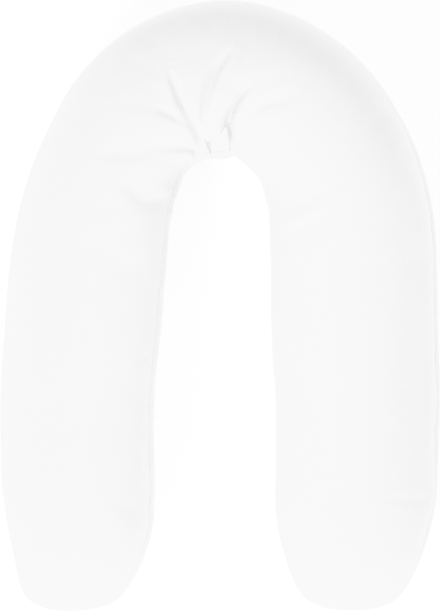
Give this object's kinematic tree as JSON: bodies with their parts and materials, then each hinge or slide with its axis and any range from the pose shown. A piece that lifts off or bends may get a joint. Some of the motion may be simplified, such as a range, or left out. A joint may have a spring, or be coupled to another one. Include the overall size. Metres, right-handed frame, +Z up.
{
  "type": "body pillow",
  "caption": "Long plump body pillow bent into an arch with two arms, creased where the inside of the bend is squeezed, lying on its back.",
  "frame": {"origin": "under the middle of the pillow's box, level with the surface that it lies on", "axes": "+Z up, +Y from the tips of the arms towards the bend, +X to the right seen from above"},
  "size_m": [0.6894, 0.9636, 0.2121],
  "materials": {
    "white_cotton": "matt plain-woven cotton, plain white"
  },
  "bodies": {
    "root": {"pillow": "white_cotton"}
  },
  "joints": []
}
